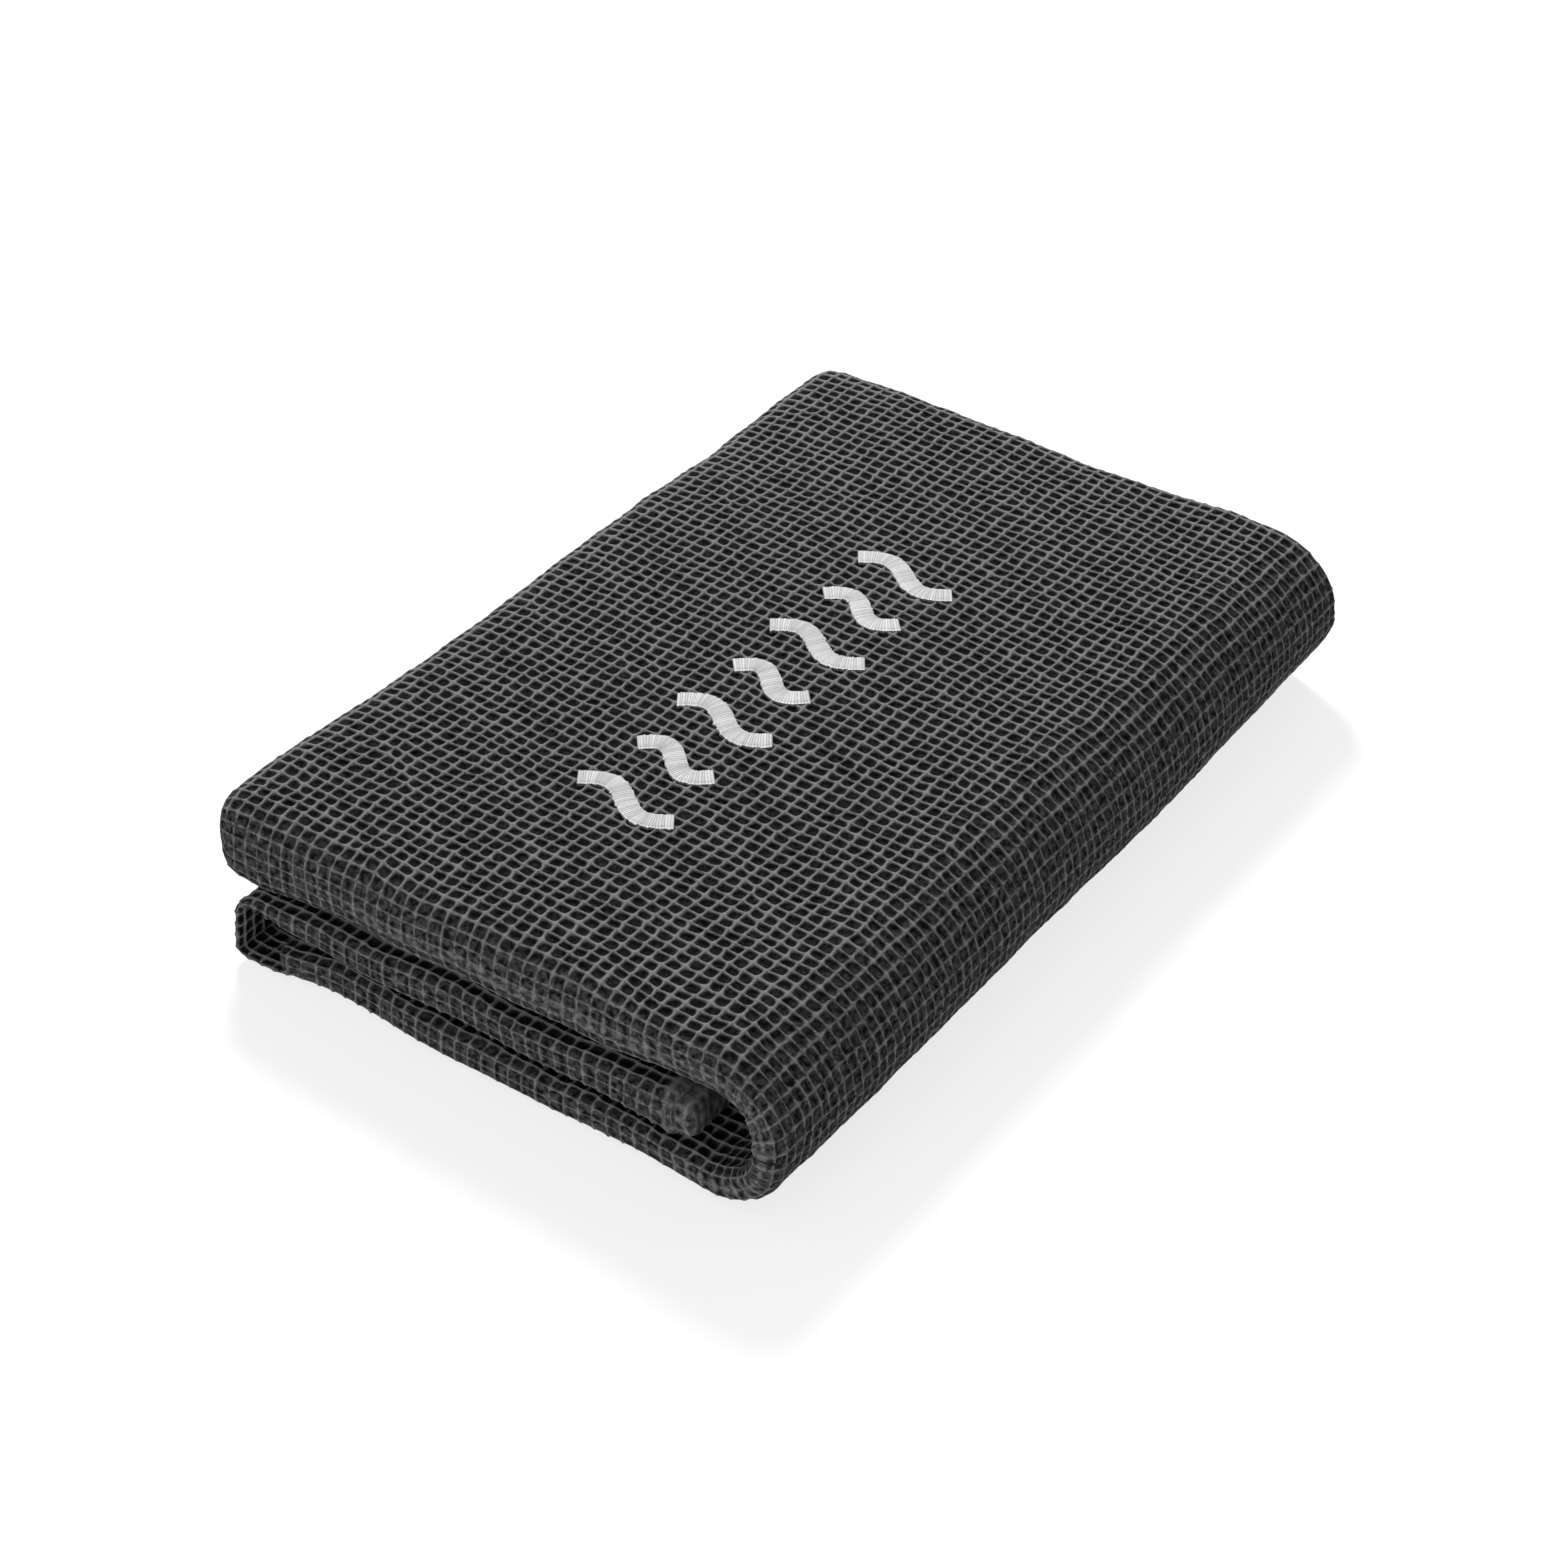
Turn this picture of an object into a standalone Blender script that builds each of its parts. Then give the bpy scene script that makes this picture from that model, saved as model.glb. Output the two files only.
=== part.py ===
"""A waffle-weave sauna blanket, folded in a C and laid flat.

The long strip of cloth is four plies thick. Its middle stretch is the base. It turns up at the left
into a flap that lies on the base, and turns up at the right into a spine and then into the cover,
whose end is tucked under itself, so that the cover is eight plies thick. X runs across the stack
from the cover's free fold (left) to the spine (right), Y runs along it and Z is up. The origin is
the middle of the footprint, on the surface that the blanket lies on.
"""
import math

import bmesh
import bpy

# Overall sizes of the folded blanket, in metres
FOLDED_LENGTH = 0.396
FOLDED_WIDTH = 0.271

# Cloth
PLY = 0.0037
GAP = 0.0003

# Flap, left fold and cover
FLAP_LIFT = 0.0035
COVER_OVERHANG = 0.023
LEFT_FOLD_DEPTH = 0.016
FLAP_CLEARANCE = 0.0225
FLAP_STEP = 0.005
SPINE_WALL = 0.014

# The two lines that the spine bends about, beside its lower and upper corner
HINGE_OUT = 0.0191
HINGE_DROP = 0.0139

# Hems, label and embroidery
HEM_WIDTH = 0.015
HEM_INSET = 0.006
THREAD = 0.0003
HEM_THREAD_WIDTH = 0.0012
LABEL_LENGTH = 0.040
LABEL_WIDTH = 0.012
BACKING_THICKNESS = 0.00025
BACKING_MARGIN = 0.006
WAVE_COUNT = 7
WAVE_PITCH = 0.0300
WAVE_WIDTH = 0.0085
WAVE_SWING = 0.0055
WAVE_HEIGHT = 0.0007
LONG_WAVE = 0.041
SHORT_WAVE = 0.031
MOTIF_X = -0.0050
MOTIF_Y = -0.0155

# Mesh steps
ROUND_STEPS = 8
SPINE_STEPS = 14
END_STEPS = 5
END_FIRST_ANGLE = math.radians(14.0)
WAVE_STEPS = 24

# Heights that follow from the plies
LEAF = 4 * PLY + 3 * GAP
BACKING_SPACE = BACKING_THICKNESS + 2 * GAP
COVER = 8 * PLY + 2 * BACKING_SPACE + 5 * GAP
FLAP_BOTTOM = LEAF + FLAP_LIFT
COVER_BOTTOM = FLAP_BOTTOM + LEAF + GAP
STACK_HEIGHT = COVER_BOTTOM + COVER

# Places that follow from the overall sizes
FRONT = -FOLDED_LENGTH / 2
FAR = FOLDED_LENGTH / 2
COVER_LEFT = -FOLDED_WIDTH / 2
SPINE_RADIUS = STACK_HEIGHT / 2
SPINE_X = FOLDED_WIDTH / 2 - SPINE_RADIUS
SPINE_HOLLOW_DEPTH = SPINE_RADIUS - SPINE_WALL
SPINE_HOLLOW_HALF = (COVER_BOTTOM - LEAF) / 2
SPINE_HOLLOW_MIDDLE = (COVER_BOTTOM + LEAF) / 2
LEAF_LEFT = COVER_LEFT + COVER_OVERHANG + LEFT_FOLD_DEPTH
FLAP_RIGHT = SPINE_X + SPINE_HOLLOW_DEPTH - FLAP_CLEARANCE - FLAP_STEP
STEP_INSIDE = PLY + GAP

CLOTH_BLACK = (0.021, 0.021, 0.023, 1.0)
THREAD_BLACK = (0.012, 0.012, 0.013, 1.0)
THREAD_WHITE = (0.78, 0.78, 0.77, 1.0)
BACKING_GREY = (0.30, 0.30, 0.30, 1.0)
LABEL_WHITE = (0.70, 0.70, 0.68, 1.0)


def clear_scene():
    for item in list(bpy.data.objects):
        bpy.data.objects.remove(item, do_unlink=True)


def finish_material(name, colour, roughness):
    material = bpy.data.materials.new(name)
    material.use_nodes = True
    shader = material.node_tree.nodes["Principled BSDF"]
    shader.inputs["Base Color"].default_value = colour
    shader.inputs["Roughness"].default_value = roughness
    shader.inputs["Metallic"].default_value = 0.0
    material.diffuse_color = colour
    return material


def add_piece(name, mesh_data, colour, roughness, parent, smooth=True):
    """Turns a bmesh into a named object with its own material, in its body."""
    bmesh.ops.recalc_face_normals(mesh_data, faces=mesh_data.faces)
    mesh = bpy.data.meshes.new(name)
    mesh_data.to_mesh(mesh)
    mesh_data.free()
    if smooth:
        mesh.shade_smooth()
        mesh.set_sharp_from_angle(angle=math.radians(40.0))
    mesh.materials.append(finish_material(name, colour, roughness))
    item = bpy.data.objects.new(name, mesh)
    bpy.context.collection.objects.link(item)
    item.parent = parent
    item.location = -parent.location


def add_body(name, location):
    """The empty that carries a body's pieces, on the axis that the body turns about."""
    empty = bpy.data.objects.new(name, None)
    empty.location = location
    bpy.context.collection.objects.link(empty)
    return empty


def round_loop(half, front, far):
    """Outline of a flattened tube, as (y, height) points: two half rounds joined by straights."""
    points = []
    for step in range(ROUND_STEPS + 1):
        angle = math.pi / 2 + math.pi * step / ROUND_STEPS
        points.append((front + half + half * math.cos(angle), half * math.sin(angle)))
    for step in range(ROUND_STEPS + 1):
        angle = -math.pi / 2 + math.pi * step / ROUND_STEPS
        points.append((far - half + half * math.cos(angle), half * math.sin(angle)))
    return points


def folded_loop(half, front, far, short_by):
    """Outline of one ply folded double at the front, as (y, height) points.

    The lower ply stops short of the upper one by short_by, where the hem lies.
    """
    inside = half - PLY
    points = []
    for step in range(ROUND_STEPS + 1):
        angle = math.pi / 2 + math.pi * step / ROUND_STEPS
        points.append((front + half + half * math.cos(angle), half * math.sin(angle)))
    points.append((far - short_by, -half))
    points.append((far - short_by, -inside))
    for step in range(ROUND_STEPS + 1):
        angle = -math.pi / 2 - math.pi * step / ROUND_STEPS
        points.append((front + half + inside * math.cos(angle), inside * math.sin(angle)))
    points.append((far, inside))
    points.append((far, half))
    return points


def flat_stations(left, right, bottom, thickness):
    """Stations of a flat pack: (middle x, middle z, half-thickness vector, front and far inset)."""
    middle = bottom + thickness / 2
    return [(x, middle, (0.0, thickness / 2), 0.0) for x in (left, right)]


def closed_end_stations(left, right, bottom, thickness, offset):
    """Stations of a flat pack whose left end is rounded over, offset inwards from its outside."""
    radius = thickness / 2
    inner = radius - offset
    middle = bottom + radius
    stations = []
    for step in range(END_STEPS + 1):
        angle = END_FIRST_ANGLE + (math.pi / 2 - END_FIRST_ANGLE) * step / END_STEPS
        reach = (math.cos(END_FIRST_ANGLE) - math.cos(angle)) / math.cos(END_FIRST_ANGLE)
        x = left + offset + inner * reach
        half = offset + inner * math.sin(angle)
        stations.append((x, middle, (0.0, half), inner * (1 - math.sin(angle))))
    stations.append((right, middle, (0.0, radius), 0.0))
    return stations


def spine_stations():
    """Stations round the spine, from the base's end below to the cover's end above.

    The outside is a half circle and the inside a half ellipse.
    """
    stations = []
    for step in range(SPINE_STEPS + 1):
        angle = -math.pi / 2 + math.pi * step / SPINE_STEPS
        outer_x = SPINE_X + SPINE_RADIUS * math.cos(angle)
        outer_z = SPINE_RADIUS + SPINE_RADIUS * math.sin(angle)
        inner_x = SPINE_X + SPINE_HOLLOW_DEPTH * math.cos(angle)
        inner_z = SPINE_HOLLOW_MIDDLE + SPINE_HOLLOW_HALF * math.sin(angle)
        vector = ((outer_x - inner_x) / 2, (outer_z - inner_z) / 2)
        stations.append(((outer_x + inner_x) / 2, (outer_z + inner_z) / 2, vector, 0.0))
    return stations


def left_fold_stations():
    """Stations round the single ply that joins the base to the flap, from below to above."""
    bottom = LEAF / 2 - PLY / 2
    top = FLAP_BOTTOM + LEAF / 2 + PLY / 2
    depth = LEFT_FOLD_DEPTH - GAP
    reach = (top - bottom) / 2
    start = LEAF_LEFT - GAP
    stations = []
    for step in range(SPINE_STEPS + 1):
        angle = -math.pi / 2 + math.pi * step / SPINE_STEPS
        outer = (start - depth * math.cos(angle), (bottom + top) / 2 + reach * math.sin(angle))
        inner = (
            start - (depth - PLY) * math.cos(angle),
            (bottom + top) / 2 + (reach - PLY) * math.sin(angle),
        )
        vector = ((inner[0] - outer[0]) / 2, (inner[1] - outer[1]) / 2)
        stations.append(((outer[0] + inner[0]) / 2, (outer[1] + inner[1]) / 2, vector, 0.0))
    return stations


def placed_loop(mesh_data, station, offset, make_loop):
    """Vertices of one section: make_loop gives (y, height), which the station's vector places."""
    x, z, vector, inset = station
    length = math.hypot(*vector)
    unit = (vector[0] / length, vector[1] / length)
    loop = make_loop(length - offset, FRONT + offset + inset, FAR - offset - inset)
    return [mesh_data.verts.new((x + unit[0] * h, y, z + unit[1] * h)) for y, h in loop]


def join_rings(mesh_data, first, second):
    count = len(first)
    for index in range(count):
        after = (index + 1) % count
        mesh_data.faces.new((first[index], first[after], second[after], second[index]))


def solid_sweep(stations, offset, make_loop):
    """A closed solid through the stations, with a flat face at each end."""
    mesh_data = bmesh.new()
    rings = [placed_loop(mesh_data, station, offset, make_loop) for station in stations]
    for first, second in zip(rings, rings[1:]):
        join_rings(mesh_data, first, second)
    mesh_data.faces.new(rings[0])
    mesh_data.faces.new(rings[-1])
    return mesh_data


def ply_tube(stations, offset):
    """One ply wrapped round the pack as a flattened tube, open at both ends."""
    mesh_data = bmesh.new()
    outer = [placed_loop(mesh_data, station, offset, round_loop) for station in stations]
    inner = [placed_loop(mesh_data, station, offset + PLY, round_loop) for station in stations]
    for rings in (outer, inner):
        for first, second in zip(rings, rings[1:]):
            join_rings(mesh_data, first, second)
    join_rings(mesh_data, outer[0], inner[0])
    join_rings(mesh_data, outer[-1], inner[-1])
    return mesh_data


def ply_pocket(left, right, bottom, thickness, offset):
    """One ply wrapped round the pack and over its left end, open at the right."""
    mesh_data = bmesh.new()
    outer_stations = closed_end_stations(left, right, bottom, thickness, offset)
    inner_stations = closed_end_stations(left, right, bottom, thickness, offset + PLY)
    outer = [placed_loop(mesh_data, place, offset, round_loop) for place in outer_stations]
    inner = [placed_loop(mesh_data, place, offset + PLY, round_loop) for place in inner_stations]
    for rings in (outer, inner):
        for first, second in zip(rings, rings[1:]):
            join_rings(mesh_data, first, second)
        mesh_data.faces.new(rings[0])
    join_rings(mesh_data, outer[-1], inner[-1])
    return mesh_data


def box(low, high):
    mesh_data = bmesh.new()
    corners = [
        mesh_data.verts.new((x, y, z))
        for z in (low[2], high[2])
        for x, y in ((low[0], low[1]), (high[0], low[1]), (high[0], high[1]), (low[0], high[1]))
    ]
    mesh_data.faces.new(corners[:4])
    mesh_data.faces.new(corners[4:])
    for index in range(4):
        after = (index + 1) % 4
        mesh_data.faces.new((corners[index], corners[after], corners[after + 4], corners[index + 4]))
    return mesh_data


def add_hem(name, left, right, middle, offset, covered, body):
    """The turned edge of the cloth and its thread, beside the short ply of a folded pack.

    covered is what else lies over the thread, under the ply above.
    """
    floor_level = middle - (LEAF / 2 - STEP_INSIDE)
    ceiling = middle + (LEAF / 2 - STEP_INSIDE - PLY)
    thread_top = ceiling - GAP - covered
    thread_bottom = thread_top - THREAD
    hem_far = FAR - offset - PLY
    low = (left + HEM_INSET, hem_far - HEM_WIDTH, floor_level)
    high = (right - HEM_INSET, hem_far, thread_bottom - GAP)
    add_piece(name, box(low, high), CLOTH_BLACK, 0.95, body, smooth=False)
    middle_y = hem_far - HEM_WIDTH / 2
    low = (low[0] + GAP, middle_y - HEM_THREAD_WIDTH / 2, thread_bottom)
    high = (high[0] - GAP, middle_y + HEM_THREAD_WIDTH / 2, thread_top)
    add_piece(name + "_thread", box(low, high), THREAD_BLACK, 0.7, body, smooth=False)
    return hem_far, ceiling


def hemmed_ply(half, front, far):
    """Outline of the innermost ply, whose lower side leaves room for the hem."""
    return folded_loop(half, front, far - PLY, HEM_WIDTH + GAP)


def add_leaf(prefix, left, right, step, bottom, body):
    """A four-ply pack: an outer ply, an inner ply folded double in it, and the hem with its thread.

    The inner ply reaches past the outer one by step at the right.
    """
    outer = ply_tube(flat_stations(left, right, bottom, LEAF), 0.0)
    add_piece(prefix + "_outer_ply", outer, CLOTH_BLACK, 0.95, body)
    inner_stations = flat_stations(left, right + step, bottom, LEAF)
    inner = solid_sweep(inner_stations, STEP_INSIDE, hemmed_ply)
    add_piece(prefix + "_inner_ply", inner, CLOTH_BLACK, 0.95, body)
    add_hem(prefix + "_hem", left, right, bottom + LEAF / 2, STEP_INSIDE, 0.0, body)


def add_spine(body):
    stations = spine_stations()
    add_piece("spine_outer_ply", ply_tube(stations, 0.0), CLOTH_BLACK, 0.95, body)
    inner = solid_sweep(stations, STEP_INSIDE, round_loop)
    add_piece("spine_inner_plies", inner, CLOTH_BLACK, 0.95, body)


def add_cover(body):
    """The cover: three nested plies over its left end, a folded innermost ply, hem and label."""
    right = SPINE_X - GAP
    second = PLY + BACKING_SPACE
    offsets = {
        "cover_outer_ply": 0.0,
        "cover_second_ply": second,
        "cover_third_ply": second + STEP_INSIDE,
    }
    for name, offset in offsets.items():
        pocket = ply_pocket(COVER_LEFT, right, COVER_BOTTOM, COVER, offset)
        add_piece(name, pocket, CLOTH_BLACK, 0.95, body)
    core = second + 2 * STEP_INSIDE
    left = COVER_LEFT + COVER / 2
    stations = flat_stations(left, right, COVER_BOTTOM, COVER)
    add_piece("cover_inner_ply", solid_sweep(stations, core, hemmed_ply), CLOTH_BLACK, 0.95, body)
    middle = COVER_BOTTOM + COVER / 2
    label_space = THREAD + GAP
    hem_far, ceiling = add_hem("cover_hem", left, right, middle, core, label_space, body)
    label_y = hem_far - (HEM_WIDTH - LABEL_WIDTH) / 2
    low = (-LABEL_LENGTH / 2, label_y - LABEL_WIDTH, ceiling - GAP - THREAD)
    high = (LABEL_LENGTH / 2, label_y, ceiling - GAP)
    add_piece("care_label", box(low, high), LABEL_WHITE, 0.5, body, smooth=False)


def motif_half_length():
    return (WAVE_COUNT - 1) * WAVE_PITCH / 2 + WAVE_SWING + WAVE_WIDTH / 2


def add_embroidery(body):
    """A row of plain heat-wave strokes on the cover, and the backing cloth under its top ply."""
    for number in range(WAVE_COUNT):
        length = LONG_WAVE if number % 2 == 0 else SHORT_WAVE
        y = MOTIF_Y + (number - (WAVE_COUNT - 1) / 2) * WAVE_PITCH
        name = f"embroidered_wave_{number + 1}"
        add_piece(name, wave_stroke(MOTIF_X, y, length), THREAD_WHITE, 0.45, body)
    half_x = LONG_WAVE / 2 + BACKING_MARGIN
    half_y = motif_half_length() + BACKING_MARGIN
    top = STACK_HEIGHT - PLY - GAP
    low = (MOTIF_X - half_x, MOTIF_Y - half_y, top - BACKING_THICKNESS)
    high = (MOTIF_X + half_x, MOTIF_Y + half_y, top)
    add_piece("embroidery_backing", box(low, high), BACKING_GREY, 0.9, body, smooth=False)


def wave_stroke(x, y, length):
    """A flat stroke that runs along X and swings one full sine wave in Y."""
    left_side, right_side = [], []
    for step in range(WAVE_STEPS + 1):
        share = step / WAVE_STEPS
        turn = 2 * math.pi * share
        slope = WAVE_SWING * 2 * math.pi / length * math.cos(turn)
        scale = WAVE_WIDTH / 2 / math.hypot(1.0, slope)
        centre_x = x + (share - 0.5) * length
        centre_y = y + WAVE_SWING * math.sin(turn)
        left_side.append((centre_x - slope * scale, centre_y + scale))
        right_side.append((centre_x + slope * scale, centre_y - scale))
    outline = left_side + right_side[::-1]
    mesh_data = bmesh.new()
    low, high = (
        [mesh_data.verts.new((px, py, z)) for px, py in outline]
        for z in (STACK_HEIGHT + GAP, STACK_HEIGHT + GAP + WAVE_HEIGHT)
    )
    join_rings(mesh_data, low, high)
    mesh_data.faces.new(low)
    mesh_data.faces.new(high)
    return mesh_data


def main():
    clear_scene()
    base = add_body("base", (0.0, 0.0, 0.0))
    spine = add_body("spine", (SPINE_X + HINGE_OUT, 0.0, LEAF + GAP))
    cover = add_body("cover", (SPINE_X + HINGE_OUT, 0.0, STACK_HEIGHT - HINGE_DROP))
    add_leaf("base", LEAF_LEFT, SPINE_X - GAP, 0.0, 0.0, base)
    add_leaf("flap", LEAF_LEFT, FLAP_RIGHT, FLAP_STEP, FLAP_BOTTOM, base)
    left_fold = solid_sweep(left_fold_stations(), 0.0, round_loop)
    add_piece("left_fold_ply", left_fold, CLOTH_BLACK, 0.95, base)
    add_spine(spine)
    add_cover(cover)
    add_embroidery(cover)


main()
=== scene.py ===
import math

import bpy
import numpy as np
from mathutils import Matrix, Vector


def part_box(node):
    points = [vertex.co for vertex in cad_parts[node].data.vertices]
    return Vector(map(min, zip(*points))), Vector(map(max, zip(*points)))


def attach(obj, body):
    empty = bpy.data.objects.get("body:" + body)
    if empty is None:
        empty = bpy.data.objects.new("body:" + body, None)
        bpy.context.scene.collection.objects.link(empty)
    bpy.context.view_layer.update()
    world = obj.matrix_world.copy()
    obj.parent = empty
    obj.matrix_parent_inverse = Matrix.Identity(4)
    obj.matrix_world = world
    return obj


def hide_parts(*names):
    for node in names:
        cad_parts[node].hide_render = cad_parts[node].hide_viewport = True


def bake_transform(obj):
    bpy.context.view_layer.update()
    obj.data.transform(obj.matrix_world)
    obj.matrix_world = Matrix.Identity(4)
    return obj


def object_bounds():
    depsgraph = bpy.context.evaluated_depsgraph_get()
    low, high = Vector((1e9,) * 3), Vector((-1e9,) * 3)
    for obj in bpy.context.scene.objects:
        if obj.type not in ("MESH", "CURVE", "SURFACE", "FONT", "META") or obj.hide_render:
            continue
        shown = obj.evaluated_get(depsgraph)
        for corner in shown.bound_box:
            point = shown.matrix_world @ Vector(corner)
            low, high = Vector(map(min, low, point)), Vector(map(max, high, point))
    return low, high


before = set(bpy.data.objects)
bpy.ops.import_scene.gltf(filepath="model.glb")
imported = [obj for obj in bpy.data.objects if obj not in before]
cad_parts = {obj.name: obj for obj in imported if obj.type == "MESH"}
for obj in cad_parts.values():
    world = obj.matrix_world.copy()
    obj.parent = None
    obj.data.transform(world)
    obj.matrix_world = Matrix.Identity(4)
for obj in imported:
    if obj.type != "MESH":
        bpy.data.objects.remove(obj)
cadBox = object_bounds()
print("frame loaded", [list(corner) for corner in cadBox])

# Measures of the folded cloth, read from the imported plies
frontY, farY = cadBox[0].y, cadBox[1].y
leftX = cadBox[0].x
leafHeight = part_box("base_outer_ply")[1].z
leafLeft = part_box("base_outer_ply")[0].x
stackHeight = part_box("cover_outer_ply")[1].z
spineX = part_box("spine_outer_ply")[0].x
spineRadius = stackHeight / 2

weave = {
    "cell": (0.0061, 0.0050),  # one waffle cell along X and along Y
    "depth": 0.0019,  # from a ridge to the floor of a cell
    "bowl": 2.9,  # power of the cell's profile: 2 is a round bowl, more is a flatter floor
    "depthSpread": 0.08,  # how much the cells differ in depth
    "ridgeWander": (0.00042, 0.00027),  # how far a ridge strays, in long and in short waves
    "ridgeSag": 0.00030,  # how far a ridge sinks between its crossings
    "sharpness": 1.15,  # power of the depth: more keeps the ridges thin
    "flatOnRim": 0.7,  # how much of the relief a rim loses
    "flatInBand": 0.93,  # how much of it a plain band loses
    "greyInBand": 0.6,  # how much of the black of its cells a plain band loses
    "longWave": 0.024,  # length of the ridges' long waves, of their short ones, and of the fraying
    "shortWave": 0.0075,
    "frayWave": 0.006,
    "steps": (0.0, 0.1, 0.24, 0.5, 0.76, 0.9),  # where a cell is sampled
    "seed": 11,
}


class Wire:
    # One shader socket. Sums, products and powers of wires add their own Math nodes.
    def __init__(self, tree, socket=None):
        self.tree, self.socket = tree, socket

    def node(self, kind, settings=None, inputs=None, out=0):  # any other node: settings first, then inputs
        made = self.tree.nodes.new("ShaderNode" + kind)
        for key, value in (settings or {}).items():
            setattr(made, key, value)
        for key, value in (inputs or {}).items():
            if isinstance(value, Wire):
                self.tree.links.new(value.socket, made.inputs[key])
            else:
                made.inputs[key].default_value = value
        return Wire(self.tree, made.outputs[out])

    def output(self, key):  # another output of the same node
        return Wire(self.tree, self.socket.node.outputs[key])

    def maths(self, operation, *values):
        return self.node("Math", {"operation": operation}, dict(enumerate(values)))

    def __add__(self, other):
        return self.maths("ADD", self, other)

    def __radd__(self, other):
        return self.maths("ADD", other, self)

    def __sub__(self, other):
        return self.maths("SUBTRACT", self, other)

    def __rsub__(self, other):
        return self.maths("SUBTRACT", other, self)

    def __mul__(self, other):
        return self.maths("MULTIPLY", self, other)

    def __rmul__(self, other):
        return self.maths("MULTIPLY", other, self)

    def __truediv__(self, other):
        return self.maths("DIVIDE", self, other)

    def __rtruediv__(self, other):
        return self.maths("DIVIDE", other, self)

    def __pow__(self, other):
        return self.maths("POWER", self, other)

    def __rpow__(self, other):
        return self.maths("POWER", other, self)

    def __neg__(self):
        return self.maths("MULTIPLY", self, -1.0)

    def sine(self):
        return self.maths("SINE", self)

    def clipped(self):
        return self.node("Clamp", None, {0: self})

    def blend(self, first, second):  # a colour between two, by this wire: 6, 7 and 2 are Mix's colour sockets
        return self.node("Mix", {"data_type": "RGBA"}, {0: self, 6: first, 7: second}, 2)


def newFinish(name, constants):
    # A material with one Principled shader, whose own sockets hold the constants.
    material = bpy.data.materials.new(name)
    material.use_nodes = True
    shader = material.node_tree.nodes["Principled BSDF"]
    for key, value in constants.items():
        shader.inputs[key].default_value = value
    return material, shader, Wire(material.node_tree)


def plug(shader, tree, sockets):
    # Links each wire to the shader's socket of that name.
    for key, wire in sockets.items():
        tree.tree.links.new(wire.socket, shader.inputs[key])


def grey(value):
    return (value, value, value, 1.0)


def waffleFinish(name, look):
    # Ridges are grey and cells are black. The ridges' grey is the cloth's own; its fall into the cells is partly
    # painted shade in the recesses. The attribute pit holds in X the depth, from 0 on a ridge to 1 on a floor,
    # and in Y how far the cloth turns round a rim, and lies on the spine's side, where ridges and cells are a dull
    # grey: the narrower, darker grey of the ridges there is painted shade. weaveAt holds the place on the flat
    # cloth in metres. The tone is crest less depth, times two noises and the painted side shade, plus lint on the
    # floors and a haze on the rims.
    constants = {
        "Roughness": look["roughness"],
        "Sheen Weight": look["sheen"],
        "Sheen Roughness": 0.45,
        "Specular IOR Level": look["gloss"],
    }
    material, shader, tree = newFinish(name, constants)
    stored = tree.node("Attribute", {"attribute_name": "pit"}, out="Vector")
    pit = tree.node("SeparateXYZ", None, {"Vector": stored}, out="X")
    turned = pit.output("Y")
    place = tree.node("Attribute", {"attribute_name": "weaveAt"}, out="Vector")
    cell = tree.node("TexNoise", None, {"Vector": place, "Scale": 420.0, "Detail": 3.0})
    fibre = tree.node("TexNoise", None, {"Vector": place, "Scale": 1700.0, "Detail": 2.0})
    patch = tree.node("TexNoise", None, {"Vector": place, "Scale": 26.0, "Detail": 3.0})
    along = tree.node("SeparateXYZ", None, {"Vector": place}, out="X")
    across = along.output("Y")
    threadTurn = 2 * math.pi / look["thread"]
    threads = (along * threadTurn).sine() * (across * threadTurn).sine()
    # painted shade: the grey on a ridge narrows on rims and on the spine's side
    crest = look["crest"] - turned * look["crestShadeOnSides"]
    # the ridges' own grey, falling off into the cells as painted shade in the recesses
    ridgeGreyAndCellShade = (crest - pit * look["contrast"] + (fibre - 0.5) * look["mottle"]).clipped()
    speck = (cell * fibre * 4.0 - 0.85).clipped() * look["speck"]
    uneven = 1.0 + (cell - 0.5) * look["uneven"] * (0.4 + turned)
    # painted shade: darker ridges on rims and on the spine's side
    sideShade = 1.0 - turned * look["ridgeShadeOnSides"]
    haze = turned * look["haze"] * (0.5 + (cell - 0.5) * 4.0).clipped() * 2.0
    tone = (ridgeGreyAndCellShade * uneven * (0.8 + 0.4 * patch) * sideShade + speck + haze).clipped()
    colour = tone.blend(grey(look["floor"]), grey(look["ridge"]))
    height = fibre * 0.7 + threads * 0.35 + cell * 0.6
    bump = tree.node("Bump", None, {"Strength": look["bump"], "Distance": 0.00035, "Height": height})
    plug(shader, tree, {"Base Color": colour, "Normal": bump})
    return material


waffleLook = {
    "roughness": 0.95,
    "sheen": 0.015,
    "gloss": 0.015,
    "thread": 0.0009,  # width of two threads of the fine weave
    "crest": 1.2,  # width of the grey on a ridge
    "crestShadeOnSides": 0.3,  # painted shade: how much of it a rim and the spine's side lose
    "ridgeShadeOnSides": 0.42,  # painted shade: how much darker the ridges of a rim and of the spine's side are
    "haze": 0.13,  # grey over the cells of a rim
    "contrast": 2.2,
    "mottle": 0.5,  # ragged edges of the grey
    "speck": 0.16,  # lint in the cells
    "uneven": 2.2,
    "floor": 0.004,  # grey of the floors, dark partly as painted shade, and of the ridges
    "ridge": 0.14,
    "bump": 0.5,
}
waffleCloth = waffleFinish("waffleCloth", waffleLook)


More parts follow.
